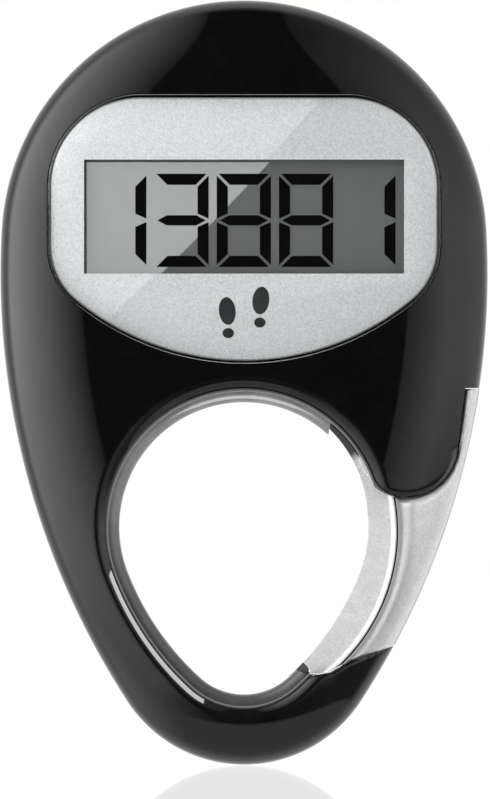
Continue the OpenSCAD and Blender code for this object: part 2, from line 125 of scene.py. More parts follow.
def reach(depth, angle, low, high):
    """Radius from the eye's centre at which a depth function falls to 0."""
    for _ in range(46):
        mid = (low + high) / 2
        inside = depth(mid * np.cos(angle), mid * np.sin(angle)) > 0
        low, high = np.where(inside, mid, low), np.where(inside, high, mid)
    return (low + high) / 2


def flank(d, width, power):
    """Height of the case at depth d inside its outline."""
    d = np.clip(d, 0, width)
    return belt + (half_t - belt) * (1 - (1 - d / width) ** power) ** (1 / power)


def drop(d, r):
    """How far an edge rounded to radius r lies below its face."""
    d = np.clip(d, 0, r)
    return r - np.sqrt(r * r - (r - d) ** 2)


# the gate's pivot, the nose round it and the space that the gate fills
pivot_r = eye_r + 5.87
pivot_a = 27
px, pz = pivot_r * cosd(pivot_a), pivot_r * sind(pivot_a)
lobe_r = 5.45
lean = 7.1
gate_top = pz - lobe_r * sind(lean) + 6.7 * cosd(lean)
hook_end = [(2.45, -0.52, -71), (1.226, -0.943, -71), (0.851, -1.073, -66),
            (0.69, -1.163, -66), (0.594, -1.182, -85), (0.535, -1.179, -120),
            (0.5, -1.12, -160)]


def zone(m):
    """Space of the gate, grown by m; each hook point moves along its own angle."""
    end = [(eye_r * x + m * cosd(a), eye_r * z + m * sind(a)) for x, z, a in hook_end]
    return ([(px, pz), (px, gate_top + m), (2.45 * eye_r, gate_top + m)] + end
            + [(0, -0.6 * eye_r), (0, 0.3 * eye_r)])


def nose_distance(x, z):
    """Distance outside the nose: a circle on the pivot and a line above it."""
    along = (x - px) * sind(lean) + (z - pz) * cosd(lean)
    off_line = (x - px) * cosd(lean) - (z - pz) * sind(lean)
    return np.where(along > 0, off_line, np.hypot(x - px, z - pz)) - lobe_r


def nose_outline(m):
    """Outline of the nose round the pivot, grown by m, open towards the pod."""
    r = lobe_r + m
    foot = np.array([px + r * cosd(lean), pz - r * sind(lean)])
    tangent = np.array([sind(lean), cosd(lean)])
    round_part = [(px + r * cosd(a), pz + r * sind(a)) for a in np.linspace(-lean, -180, 40)]
    return [tuple(foot + 14 * tangent)] + round_part + [(px - r, gate_top + 6)]


def line_distance(points, x, z):
    """Smallest distance to an open line of points."""
    best = np.full(np.shape(x), 1e9)
    for (x0, z0), (x1, z1) in zip(points[:-1], points[1:]):
        dx, dz = x1 - x0, z1 - z0
        t = np.clip(((x - x0) * dx + (z - z0) * dz) / (dx * dx + dz * dz), 0, 1)
        best = np.minimum(best, np.hypot(x - x0 - t * dx, z - z0 - t * dz))
    return best


hook_line = [(eye_r * x, eye_r * z) for x, z, a in hook_end]
nose_line = nose_outline(0)[:-1]
nose_line = nose_line[:next(i for i, p in enumerate(nose_line) if p[0] < px - 3.4 and p[1] < pz)]


def read_points(mesh):
    co = np.empty(3 * len(mesh.vertices))
    mesh.vertices.foreach_get("co", co)
    return co.reshape(-1, 3)


def write_points(mesh, co):
    mesh.vertices.foreach_set("co", np.ascontiguousarray(co, dtype=float).ravel())
    mesh.update()


def new_piece(name, bm, body, stands_for=(), angle=35):
    """Object from a bmesh in millimetres, smooth but for its sharp edges."""
    bmesh.ops.recalc_face_normals(bm, faces=bm.faces)
    bmesh.ops.scale(bm, vec=(MM, MM, MM), verts=bm.verts)
    mesh = bpy.data.meshes.new(name)
    bm.to_mesh(mesh)
    bm.free()
    mesh.shade_smooth()
    mesh.set_sharp_from_angle(angle=math.radians(angle))
    piece = bpy.data.objects.new(name, mesh)
    bpy.context.scene.collection.objects.link(piece)
    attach(piece, body)
    if stands_for:
        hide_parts(*stands_for)
    return piece


def prism(outline, y0, y1):
    """Solid with an outline drawn in x and z, between two depths."""
    bm = bmesh.new()
    ring = [bm.verts.new((x, y0, z)) for x, z in outline]
    face = bm.faces.new(ring)
    made = bmesh.ops.extrude_face_region(bm, geom=[face])["geom"]
    moved = [v for v in made if isinstance(v, bmesh.types.BMVert)]
    bmesh.ops.translate(bm, vec=(0, y1 - y0, 0), verts=moved)
    bmesh.ops.recalc_face_normals(bm, faces=bm.faces)
    return bm


def rod(x, z, r, y0, y1, segments=48):
    """Solid cylinder along y."""
    bm = bmesh.new()
    spot = Matrix.Translation((x, (y0 + y1) / 2, z)) @ Matrix.Rotation(math.pi / 2, 4, 'X')
    bmesh.ops.create_cone(bm, cap_ends=True, segments=segments, radius1=r, radius2=r,
                          depth=y1 - y0, matrix=spot)
    return bm


def joined(parts):
    """One bmesh from several separate solids."""
    bm = bmesh.new()
    for part in parts:
        mesh = bpy.data.meshes.new("part")
        part.to_mesh(mesh)
        part.free()
        bm.from_mesh(mesh)
        bpy.data.meshes.remove(mesh)
    return bm


def carve(bm, tools, operation='DIFFERENCE'):
    """Cuts solids out of a solid one after another, all in millimetres."""
    mesh = bpy.data.meshes.new("work")
    bm.to_mesh(mesh)
    bm.free()
    work = bpy.data.objects.new("work", mesh)
    bpy.context.scene.collection.objects.link(work)
    for tool in tools:
        tool_mesh = bpy.data.meshes.new("tool")
        tool.to_mesh(tool_mesh)
        tool.free()
        cutter = bpy.data.objects.new("tool", tool_mesh)
        bpy.context.scene.collection.objects.link(cutter)
        step = work.modifiers.new("cut", 'BOOLEAN')
        step.operation = operation
        step.solver = 'EXACT'
        step.object = cutter
        done = bpy.data.meshes.new_from_object(
            work.evaluated_get(bpy.context.evaluated_depsgraph_get()))
        work.modifiers.clear()
        work.data = done
        bpy.data.objects.remove(cutter)
    out = bmesh.new()
    out.from_mesh(work.data)
    bpy.data.objects.remove(work)
    return out


def shell_half(side, width, power, columns=480, rows=60):
    """Half of the case: a grid wound round the eye, raised, then closed."""
    bm = bmesh.new()
    bmesh.ops.create_grid(bm, x_segments=columns, y_segments=rows, size=0.5)
    for v in bm.verts:
        angle = 2 * math.pi * (v.co.x + 0.5)
        v.co.z = (1 - math.cos(math.pi * (v.co.y + 0.5))) / 2
        v.co.x = angle
    mesh = bpy.data.meshes.new("half")
    bm.to_mesh(mesh)
    bm.free()
    co = read_points(mesh)
    angle, part = co[:, 0].copy(), co[:, 2].copy()
    none = angle * 0
    low = reach(lambda x, z: egg_depth(eye_egg, x, z) + ridge, angle, none, none + 40)
    high = reach(lambda x, z: egg_depth(body_egg, x, z), angle, none, none + 90)
    far = low + (high - low) * part
    write_points(mesh, np.stack([far * np.cos(angle), none, far * np.sin(angle)], 1))
    bm = bmesh.new()
    bm.from_mesh(mesh)
    bpy.data.meshes.remove(mesh)
    bmesh.ops.remove_doubles(bm, verts=bm.verts, dist=1e-4)
    # finer mesh where the case is rounded along the gate
    for width_near in (1.3, 0.9):
        near = []
        for e in bm.edges:
            m = (e.verts[0].co + e.verts[1].co) / 2
            if m.x < 5 or m.z > 18 or e.calc_length() < 0.3:
                continue
            d = float(line_distance(nose_line + hook_line[::-1], m.x, m.z))
            if d < width_near:
                near.append(e)
        bmesh.ops.subdivide_edges(bm, edges=near, cuts=1, use_grid_fill=True)
    raise_half(bm, side, width, power)
    rim = [e for e in bm.edges if e.is_boundary]
    made = bmesh.ops.extrude_edge_only(bm, edges=rim)["geom"]
    for v in made:
        if isinstance(v, bmesh.types.BMVert):
            v.co.y = 0
    base = [e for e in bm.edges if e.is_boundary]
    bmesh.ops.bridge_loops(bm, edges=base)
    bmesh.ops.recalc_face_normals(bm, faces=bm.faces)
    return bm


def raise_half(bm, side, width, power):
    """Lifts the flat grid to the dome and rounds it at the eye and the gate."""
    x = np.array([v.co.x for v in bm.verts])
    z = np.array([v.co.z for v in bm.verts])
    body = egg_depth(body_egg, x, z)
    height = flank(body, width, power)
    eye = -egg_depth(eye_egg, x, z) - ridge
    height = height - drop(eye, rim_width)
    nose = line_distance(nose_line[1:], x, z)
    height = height - np.where((x > 5) & (z > -2) & (z < gate_top), drop(nose, 0.7), 0)
    hook = line_distance(hook_line, x, z)
    height = height - np.where((x > 5) & (z < -5), drop(hook, 0.35), 0)
    height = np.maximum(height, 0.35)
    for v, h in zip(bm.verts, height):
        v.co.y = side * h


# the display's recess: plate outline, window and the lens that lies over them
plate_x = body_r - 5.28
plate_bot = 1.336 * eye_r
plate_top = plate_bot + 27.4
bow_r = 1.36 * plate_x
top_corner = 9.4
low_corner = 7.3
low_x = plate_x - low_corner
low_a = math.degrees(math.acos(low_x / (bow_r - low_corner)))
bow_z = plate_bot + bow_r
low_z = bow_z - (bow_r - low_corner) * sind(low_a)
window_x = plate_x - 3.45
window_z = plate_top - 12.4
window_h = 11.9
lens_edge = 0.35
lens_y = -half_t + 0.05
plate_y = lens_y + 1.2
tape_y = plate_y + 0.25
deck_y = tape_y + 0.1
glass_y = deck_y + 0.85
lens_play = 0.1


def arc(cx, cz, r, a, b, n):
    """Points of an arc from angle a to angle b, in n steps."""
    return [(cx + r * cosd(a + (b - a) * i / n), cz + r * sind(a + (b - a) * i / n))
            for i in range(n + 1)]


def plate_outline(d, fine=3):
    """Outline of the face plate, moved inwards by d."""
    half = (arc(plate_x - top_corner, plate_top - top_corner, top_corner - d, 90, 0, 8 * fine)
            + arc(low_x, low_z, low_corner - d, 0, -low_a, 6 * fine)
            + arc(0, bow_z, bow_r - d, -low_a, -90, 8 * fine)[1:])
    return half + [(-x, z) for x, z in half[-2::-1]]


def rectangle(x, z, w, h):
    """Rectangle about its centre."""
    return [(x - w / 2, z - h / 2), (x + w / 2, z - h / 2),
            (x + w / 2, z + h / 2), (x - w / 2, z + h / 2)]


def egg_outline(e, d, fine=2):
    """Egg outline as points, moved inwards by d."""
    half = (arc(0, e[1], e[0] - d, 90, -e[5], 20 * fine)
            + arc(e[2], e[3], e[4] - d, -e[5], -e[6], 14 * fine)[1:]
            + arc(0, e[8], e[7] - d, -e[6], -90, 12 * fine)[1:])
    return half + [(-x, z) for x, z in half[-2:0:-1]]


screw_places = [(0, zt - 4.35), (body_r - 5.35, 1.54 * eye_r),
                (5.35 - body_r, 1.54 * eye_r), (0, zb + 3.65)]
boss_r = 2.1


def pod_hollow(inset, y0, y1):
    """Hollow of the upper case, which leaves the screw bosses standing."""
    low_edge = 1.3 * eye_r
    return carve(prism(egg_outline(body_egg, inset), y0, y1),
                 [prism(rectangle(0, low_edge - 40, 90, 80), y0 - 1, y1 + 1)]
                 + [rod(x, z, boss_r, y0 - 1, y1 + 1) for x, z in screw_places[:3]])


def gate_space(y0, y1):
    """Room for the gate's outer parts, with the nose left standing in it."""
    return carve(prism(zone(seam), y0, y1), [prism(nose_outline(0), y0 - 1, y1 + 1)])


knuckle_room = 6.25
lug_room = 7.5
band_room = 8.1
pocket_y = 1.8
gate_range = 24
lug_a = 122
lug_margin = 7.6
lug_end = 131
band_end = 210


def gate_pocket():
    """Room inside the nose for the gate's knuckle, its lug and its inner band."""
    stop = lug_a - gate_range - lug_margin
    lug_sector = [(px, pz)] + arc(px, pz, lug_room, stop, lug_end, 6)
    band_sector = [(px, pz)] + arc(px, pz, band_room, lug_end, band_end, 12)
    return ([rod(px, pz, knuckle_room, -pocket_y, pocket_y, 96)]
            + [prism(outline, -pocket_y, pocket_y)
               for outline in (lug_sector, band_sector, zone(seam))])


window_play = 0.5
pod_wall = 4.3
front = carve(shell_half(-1, dome_width, dome_power),
              [gate_space(-half_t - 1, 0.01)] + gate_pocket()
              + [prism(plate_outline(-lens_edge - lens_play), -half_t - 1, deck_y),
                 prism(rectangle(0, window_z, 2 * window_x + window_play, window_h + window_play),
                       -half_t - 1, 1),
                 pod_hollow(pod_wall, glass_y - 0.05, 1)])
rim_outline = egg_outline(eye_egg, -ridge - rim_width, 6)
through = 9.0         # reaches past the case in front and behind
eye_rim = new_piece("eye_rim_gloss",
                    carve(front.copy(), [prism(rim_outline, -through, through)], 'INTERSECT'),
                    "case", ["front_shell"], 28)
front_shell = new_piece("front_shell_gloss",
                        carve(front, [prism(rim_outline, -through, through)]),
                        "case", ["front_shell"], 28)


def material(name):
    """New material with an empty node tree."""
    made = bpy.data.materials.new(name)
    made.use_nodes = True
    made.node_tree.nodes.clear()
    return made, made.node_tree


def add(tree, kind, values=None, **settings):
    """Adds a node, sets its settings, and sets or links its inputs."""
    made = tree.nodes.new(kind)
    for key, value in settings.items():
        setattr(made, key, value)
    for key, value in (values or {}).items():
        if isinstance(value, bpy.types.NodeSocket):
            tree.links.new(value, made.inputs[key])
        else:
            made.inputs[key].default_value = value
    return made


def wire(tree, surface, kind="ShaderNodeOutputMaterial"):
    """Links the last shader to the tree's output."""
    out = add(tree, kind)
    tree.links.new(surface.outputs[0], out.inputs["Surface"])


def shade(tree, values):
    """Principled surface wired to the output."""
    wire(tree, add(tree, "ShaderNodeBsdfPrincipled", values))


def give(piece, look):
    """Puts one material on a piece."""
    piece.data.materials.clear()
    piece.data.materials.append(look)


def group(name, inputs, outputs):
    """Empty shader group with named inputs and outputs."""
    tree = bpy.data.node_groups.new(name, 'ShaderNodeTree')
    for label, kind, value in inputs:
        socket = tree.interface.new_socket(label, in_out='INPUT', socket_type=kind)
        if value is not None:
            socket.default_value = value
    for label, kind in outputs:
        tree.interface.new_socket(label, in_out='OUTPUT', socket_type=kind)
    return tree, tree.nodes.new("NodeGroupInput"), tree.nodes.new("NodeGroupOutput")


# moulded skin: a faint waviness, and handling marks that dull the gloss
skin, skin_in, skin_out = group(
    "moulded_skin",
    [("Wave scale", 'NodeSocketFloat', 60.0), ("Wave depth", 'NodeSocketFloat', 0.02),
     ("Rough low", 'NodeSocketFloat', 0.08), ("Rough high", 'NodeSocketFloat', 0.16)],
    [("Roughness", 'NodeSocketFloat'), ("Normal", 'NodeSocketVector'),
     ("Marks", 'NodeSocketFloat')])
skin_at = add(skin, "ShaderNodeTexCoord").outputs["Object"]
skin_wave = add(skin, "ShaderNodeTexNoise", {"Vector": skin_at, "Detail": 2.0,
                                             "Scale": skin_in.outputs["Wave scale"]})
skin_marks = add(skin, "ShaderNodeTexNoise", {"Vector": skin_at, "Scale": 420.0, "Detail": 6.0,
                                              "Roughness": 0.6})
skin_mask = add(skin, "ShaderNodeMapRange", {"Value": skin_marks.outputs["Fac"], "From Min": 0.45,
                                             "From Max": 0.75})
skin_rough = add(skin, "ShaderNodeMapRange", {"Value": skin_mask.outputs[0],
                                              "To Min": skin_in.outputs["Rough low"],
                                              "To Max": skin_in.outputs["Rough high"]})
skin_bump = add(skin, "ShaderNodeBump", {"Height": skin_wave.outputs["Fac"],
                                         "Strength": skin_in.outputs["Wave depth"],
                                         "Distance": 0.001})
skin.links.new(skin_rough.outputs[0], skin_out.inputs["Roughness"])
skin.links.new(skin_bump.outputs[0], skin_out.inputs["Normal"])
skin.links.new(skin_mask.outputs[0], skin_out.inputs["Marks"])


def skin_node(tree, scale, depth, low, high):
    """Places the skin group in a material with its own values."""
    made = tree.nodes.new("ShaderNodeGroup")
    made.node_tree = skin
    for label, value in (("Wave scale", scale), ("Wave depth", depth),
                         ("Rough low", low), ("Rough high", high)):
        made.inputs[label].default_value = value
    return made


def marked(name, dark, light, scale, depth, low, high, values=None):
    """Material that goes from dark to light over its handling marks."""
    look, tree = material(name)
    made = skin_node(tree, scale, depth, low, high)
    tint = add(tree, "ShaderNodeMix", {"Factor": made.outputs["Marks"], 6: (*dark, 1),
                                       7: (*light, 1)}, data_type='RGBA')
    shade(tree, {"Base Color": tint.outputs[2], "Roughness": made.outputs["Roughness"],
                 "Normal": made.outputs["Normal"], **(values or {})})
    return look


shell_black = marked("black_gloss_shell", (0.0026, 0.0026, 0.0028), (0.0045, 0.0045, 0.0047),
                     70.0, 0.012, 0.04, 0.075)
give(front_shell, shell_black)
give(eye_rim, shell_black)


# Rear shell: the same black moulding with a flat back, which carries the
# ridge round the eye, the battery door's bore, the button hole and the screws.
rear_width, rear_power = 7.0, 2.2
rear_wall = 4.6
cell_z = plate_bot + 12.55
cell_r = 10.0
door_r = cell_r + 1.95
bore_r = door_r + 0.1
lug_y = half_t - 2.4
lug_places = (20, 200)
button_r = 1.8
button_z = pod_z + 16.4
plunger_room = 2.48
inside_y = half_t - 1.4
head_y = half_t - 2.6
head_r = 1.7
shank_r = 0.95
ridge_y = 1.4         # half the ridge's thickness
ridge_round = 1.0
ridge_root = 1.22     # goes a little way into the shell's wall


def ridge_band(columns=240):
    """Ring round the eye, drawn as one closed section wound round it."""
    inner_edge = [(ridge_round * (1 - math.sin(a)), ridge_y - ridge_round + ridge_round * math.cos(a))
                  for a in np.linspace(0, math.pi / 2, 11)]
    section = ([(-ridge_root, -ridge_y)] + [(-s, -y) for s, y in inner_edge]
               + [(-s, y) for s, y in inner_edge[::-1]] + [(-ridge_root, ridge_y)])
    bm = bmesh.new()
    bmesh.ops.create_grid(bm, x_segments=columns, y_segments=len(section), size=0.5)
    for v in bm.verts:
        k = round((v.co.y + 0.5) * len(section)) % len(section)
        a = np.float64(2 * math.pi * (v.co.x + 0.5))
        off, y = section[k]
        r = float(reach(lambda x, z: egg_depth(eye_egg, x, z) - off, a, a * 0, a * 0 + 40))
        v.co = (r * math.cos(a), y, r * math.sin(a))
    bmesh.ops.remove_doubles(bm, verts=bm.verts, dist=1e-4)
    bmesh.ops.recalc_face_normals(bm, faces=bm.faces)
    return bm


# the ridge leaves room for the gate's tip, which swings past its end
tip_x, tip_z, _ = hook_end[5]
tip_reach = math.hypot(eye_r * tip_x - px, eye_r * tip_z - pz) + 0.2
sweep = carve(rod(px, pz, tip_reach, -3, 3, 192),
              [prism(rectangle(eye_r / 2, -1.15 * eye_r, eye_r, 0.7 * eye_r), -2, 2)], 'INTERSECT')
band = carve(ridge_band(), [prism(zone(gap), -3, 3), rod(px, pz, band_room, -3, 3, 96), sweep])


def door_sector(a, half_a, grow, y0, y1):
    """Sector just outside the door, for one of its lugs to go in."""
    return prism(arc(0, cell_z, door_r + grow, a - half_a, a + half_a, 8)
                 + arc(0, cell_z, door_r - 0.6, a + half_a, a - half_a, 8), y0, y1)


def ring_solid(x, z, r_out, r_in, y0, y1, segments=96):
    """Tube along y."""
    return carve(rod(x, z, r_out, y0, y1, segments), [rod(x, z, r_in, y0 - 1, y1 + 1, segments)])


def ledge_part(inset, y0, window):
    """Thin strip of the wall round the eye, kept only inside a rectangle."""
    strip = carve(prism(egg_outline(eye_egg, -ridge - 0.2), y0, ledge_y),
                  [prism(egg_outline(eye_egg, -inset), 0, 4)])
    return carve(strip, [prism(rectangle(*window), 0, 4)], 'INTERSECT')


# one ledge stands behind the gate's tip, one beside the nose
ledge_y = 2.6
tip_ledge = ledge_part(0, 1.5, (0.44 * eye_r, -1.15 * eye_r, 0.16 * eye_r, 0.7 * eye_r))
nose_ledge = ledge_part(0.6, 1.9, (10.6, 9.2, 5.0, 5.4))
rear = carve(shell_half(1, rear_width, rear_power),
             [gate_space(-0.01, half_t + 1)] + gate_pocket()
             + [pod_hollow(rear_wall, -1, inside_y)])
rear = carve(rear, [ring_solid(0, cell_z, bore_r + 1.75, bore_r - 0.2, lug_y - 1, inside_y + 0.1),
                    rod(0, button_z, 3.4, inside_y - 0.5, inside_y + 0.1)], 'UNION')
rear = carve(rear, [rod(0, cell_z, bore_r, lug_y - 2, half_t + 1, 128),
                    ring_solid(0, cell_z, bore_r + 0.9, bore_r - 0.5, lug_y - 0.1, lug_y + 0.9)]
             + [door_sector(a, 8, 0.9, lug_y - 2, half_t + 1) for a in lug_places]
             + [rod(px, pz, 1.0, -0.01, 4.4), rod(0, button_z, button_r + 0.08, 0, half_t + 1),
                rod(0, button_z, plunger_room, inside_y - 1, inside_y)]
             + [rod(x, z, shank_r, -0.1, half_t) for x, z in screw_places]
             + [rod(x, z, head_r, head_y, half_t + 1) for x, z in screw_places])
rear_shell = new_piece("rear_shell_gloss", rear, "case", ["rear_shell"], 28)
give(rear_shell, shell_black)
eye_ridge = new_piece("eye_ridge_satin", band, "case", ["rear_shell"], 40)
eye_ledge = new_piece("eye_ledge_satin", joined([tip_ledge, nose_ledge]), "case",
                      ["rear_shell"], 28)
ridge_grey = marked("satin_grey_ridge", (0.13, 0.13, 0.13), (0.17, 0.17, 0.17),
                    200.0, 0.02, 0.16, 0.24)
give(eye_ridge, ridge_grey)
give(eye_ledge, ridge_grey)


# Gate cover: the silver-painted front skin of the sprung gate, pressed on
# two pegs. Its inner edge is rounded over towards the eye.
cover_cx, cover_cz, cover_r = -0.25 * eye_r, -0.034 * eye_r, 1.485 * eye_r
cover_round = 2.2
edge_round = 0.3


def gate_skin(side, width, power, columns=260, rows=40):
    """Grid between the gate's inner edge and the case outline, then closed."""
    bm = bmesh.new()
    bmesh.ops.create_grid(bm, x_segments=columns, y_segments=rows, size=0.5)
    x01 = np.array([v.co.x + 0.5 for v in bm.verts])
    y01 = np.array([v.co.y + 0.5 for v in bm.verts])
    angle = np.radians(-66 + 110 * x01)
    part = (1 - np.cos(math.pi * y01)) / 2
    none = angle * 0
    low = reach(lambda x, z: cover_r - np.hypot(x - cover_cx, z - cover_cz),
                angle, none, none + 40)
    high = reach(lambda x, z: egg_depth(body_egg, x, z), angle, none, none + 60)
    far = low + (high - low) * part
    x, z = far * np.cos(angle), far * np.sin(angle)
    height = flank(egg_depth(body_egg, x, z), width, power)
    height = height - drop(np.hypot(x - cover_cx, z - cover_cz) - cover_r, cover_round)
    height = height - drop(nose_distance(x, z) - 2 * gap, 0.8)
    height = height - drop(line_distance(hook_line, x, z) - gap, edge_round)
    height = height - drop(gate_top - gap - z, edge_round)
    height = np.maximum(height, ridge_y + 0.12)
    for v, a, b, h in zip(bm.verts, x, z, height):
        v.co = (a, side * h, b)
    made = bmesh.ops.extrude_face_region(bm, geom=bm.faces[:])["geom"]
    for v in made:
        if isinstance(v, bmesh.types.BMVert):
            v.co.y = side * ridge_y
    bmesh.ops.recalc_face_normals(bm, faces=bm.faces)
    return bm


def gate_part(bm, play):
    """Keeps what lies in the gate's space and clear of the nose."""
    bm = carve(bm, [prism(zone(-gap), -through, through)], 'INTERSECT')
    return carve(bm, [prism(nose_outline(play), -through, through)])


cover = gate_part(gate_skin(-1, dome_width, dome_power), 2 * gap)
gate_cover = new_piece("gate_cover_silver", cover, "gate", ["gate_front_cover"], 30)

def maths(tree, operation, a, b):
    """Math node on two values."""
    return add(tree, "ShaderNodeMath", {0: a, 1: b}, operation=operation).outputs[0]


def two_tones(tree, factor, low, dark, high, light):
    """Colour ramp from one tone to another."""
    made = add(tree, "ShaderNodeValToRGB", {"Fac": factor})
    first, last = made.color_ramp.elements
    first.position, first.color = low, (*dark, 1)
    last.position, last.color = high, (*light, 1)
    return made.outputs[0]


silver, tree = material("silver_flake_paint")
at = add(tree, "ShaderNodeTexCoord").outputs["Object"]
flakes = add(tree, "ShaderNodeTexVoronoi", {"Vector": at, "Scale": 9000.0, "Randomness": 1.0})
flake_level = add(tree, "ShaderNodeSeparateColor", {"Color": flakes.outputs["Color"]})
cloud = add(tree, "ShaderNodeTexNoise", {"Vector": at, "Scale": 900.0, "Detail": 4.0})
mixed = maths(tree, 'MULTIPLY', flake_level.outputs[0], cloud.outputs["Fac"])
tint = two_tones(tree, mixed, 0.05, (0.74, 0.74, 0.745), 0.55, (0.93, 0.93, 0.935))
# painted shade: the silver is darkened beside the seam, standing in for the lip's shadow on the cover
seam_r = (cover_r - 0.03) * MM
fade = 2.33 * MM
parts = add(tree, "ShaderNodeSeparateXYZ", {"Vector": at})
flat = add(tree, "ShaderNodeCombineXYZ", {"X": parts.outputs[0], "Z": parts.outputs[2]})
apart = add(tree, "ShaderNodeVectorMath", {0: flat.outputs[0],
                                           1: (cover_cx * MM, 0, cover_cz * MM)},
            operation='DISTANCE').outputs["Value"]
lip_shadow = add(tree, "ShaderNodeMapRange", {"Value": apart, "From Min": seam_r,
                                        "From Max": seam_r + fade, "To Min": 0.25,
                                        "To Max": 1.0}, interpolation_type='SMOOTHSTEP')
painted_shade = maths(tree, 'MAXIMUM', lip_shadow.outputs[0], maths(tree, 'LESS_THAN', apart, seam_r))
# painted shade: the lever's upper inner end, where the nose shades it, is darkened almost to black
turned = maths(tree, 'ARCTAN2', parts.outputs[2], parts.outputs[0])
nose_shade = add(tree, "ShaderNodeMapRange", {"Value": turned, "To Min": 1.0, "To Max": 0.1,
                                        "From Min": math.radians(30.5),
                                        "From Max": math.radians(34.5)})
from_eye = add(tree, "ShaderNodeVectorMath", {0: flat.outputs[0]}, operation='LENGTH')
outer = maths(tree, 'GREATER_THAN', from_eye.outputs["Value"], 15.5 * MM)
painted_shade = maths(tree, 'MINIMUM', painted_shade, maths(tree, 'MAXIMUM', nose_shade.outputs[0], outer))
shaded_tint = add(tree, "ShaderNodeVectorMath", {0: tint, "Scale": painted_shade}, operation='SCALE')
rough = add(tree, "ShaderNodeMapRange", {"Value": flake_level.outputs[1], "To Min": 0.30,
                                         "To Max": 0.48})
grain = add(tree, "ShaderNodeBump", {"Height": mixed, "Strength": 0.12,
                                     "Distance": 0.0001})
shade(tree, {"Base Color": shaded_tint.outputs[0], "Metallic": 0.35, "Roughness": rough.outputs[0],
             "Normal": grain.outputs[0]})
give(gate_cover, silver)
give(nodes["gate_lever"], silver)


# Gate seam: a raised lip of the lever that runs along the cover's inner edge,
# and a black strip in the narrow gap between the two, painted shade that stands in for the seam's
# shadow.
def turned_strip(section, start, stop, steps=96):
    """Section of radius and depth points, turned about the cover's centre."""
    bm = bmesh.new()
    ring = [bm.verts.new((cover_cx + r * cosd(start), y, cover_cz + r * sind(start)))
            for r, y in section]
    bmesh.ops.spin(bm, geom=[bm.faces.new(ring)], cent=(cover_cx, 0, cover_cz), axis=(0, -1, 0),
                   angle=math.radians(stop - start), steps=steps)
    bmesh.ops.recalc_face_normals(bm, faces=bm.faces)
    return bm


lip_out = cover_r - 0.16
lip_y = -ridge_y + 0.02
strip_span = (-54, 24)
lip_section = [(lip_out, lip_y), (lip_out, -2.0)] + [
    (lip_out - 0.12 - 0.5 * (1 - math.cos(a)), -ridge_y - 0.6 * (1 - math.sin(a)))
    for a in np.linspace(0, math.pi / 2, 8)] + [(lip_out - 0.62, lip_y)]
lip = gate_part(turned_strip(lip_section, *strip_span), gap)
give(new_piece("gate_lever_lip", lip, "gate"), silver)
# painted shade: a black strip that fills the seam, where there is only shadow
shadow_out, shadow_in, shadow_y = cover_r + 0.02, lip_out - 0.02, -1.55
shadow_section = [(shadow_out, lip_y), (shadow_out, shadow_y), (shadow_in, shadow_y), (shadow_in, lip_y)]
shadow_strip = gate_part(turned_strip(shadow_section, *strip_span), gap)
give(new_piece("gate_seam_shadow_strip", shadow_strip, "gate"),
     marked("painted_seam_shadow", (0.003, 0.003, 0.003), (0.006, 0.006, 0.006),
            200.0, 0.03, 0.5, 0.7))


# Display lens: a clear acrylic cover with a slight dome. It is glued into
# the recess over the plate, flush with the case at its edge.
lens_bow = 280.0
lens_centre = (plate_top + plate_bot) / 2
lens_wall = 0.44


def domed_lens():
    """Constant wall: rings grow outwards on the back and shrink on the front."""
    rim = plate_outline(-lens_edge)
    grow = [0.03, 0.1, 0.2, 0.3, 0.4, 0.5, 0.6, 0.7, 0.79, 0.87, 0.93, 0.97, 1.0]
    steps = ([(s, lens_wall) for s in grow] + [(1.0, 0.18), (0.9965, 0.05), (0.99, 0.0)]
             + [(s, 0.0) for s in grow[-2::-1]])
    bm = bmesh.new()
    order = bm.verts.layers.int.new("order")
    top = bm.faces.new([bm.verts.new((x * 0.02, 0, z)) for x, z in rim])
    for i, v in enumerate(top.verts):
        v[order] = i
    for k, (s, dip) in enumerate(steps):
        if k:
            made = bmesh.ops.extrude_face_region(bm, geom=[top])["geom"]
            inner_face = top
            top = [f for f in made if isinstance(f, bmesh.types.BMFace)][0]
            if k > 1 and inner_face.is_valid:
                bm.faces.remove(inner_face)
        for v in top.verts:
            x, z = rim[v[order]]
            x, z = x * s, lens_centre + (z - lens_centre) * s
            sag = lens_bow - math.sqrt(lens_bow ** 2 - x * x - (z - lens_centre) ** 2)
            v.co = (x, lens_y + sag + dip, z)
    return bm


lens = new_piece("clear_display_lens", domed_lens(), "case", ["display_lens"], 40)
clear, tree = material("clear_acrylic")
# light for the parts behind passes straight through
clear_skin = skin_node(tree, 30.0, 0.0, 0.0, 0.015)
glass = add(tree, "ShaderNodeBsdfPrincipled", {"Base Color": (0.97, 0.98, 0.98, 1), "IOR": 1.49,
                                               "Transmission Weight": 1.0,
                                               "Roughness": clear_skin.outputs["Roughness"]})
pass_through = add(tree, "ShaderNodeBsdfTransparent", {"Color": (0.93, 0.94, 0.94, 1)})
path = add(tree, "ShaderNodeLightPath")
either = maths(tree, 'MAXIMUM', path.outputs["Is Shadow Ray"], path.outputs["Is Diffuse Ray"])
wire(tree, add(tree, "ShaderNodeMixShader", {0: either, 1: glass.outputs[0],
                                             2: pass_through.outputs[0]}))
give(lens, clear)


# Face plate: thin aluminium with a satin silver finish and the display
# window punched in it. It lies under the lens on a ring of tape.
plate_face = plate_y + 0.002


def face_plate_blank():
    """Plate with a bevelled front edge and its window."""
    bm = prism(plate_outline(0), plate_face, tape_y)
    rim = [e for e in bm.edges if all(abs(v.co.y - plate_face) < 1e-4 for v in e.verts)]
    bmesh.ops.bevel(bm, geom=rim, offset=0.2, offset_type='OFFSET', segments=3, profile=0.5,
                    affect='EDGES', material=-1)
    return carve(bm, [prism(rectangle(0, window_z, 2 * window_x, window_h),
                            plate_y - 1, tape_y + 1)])


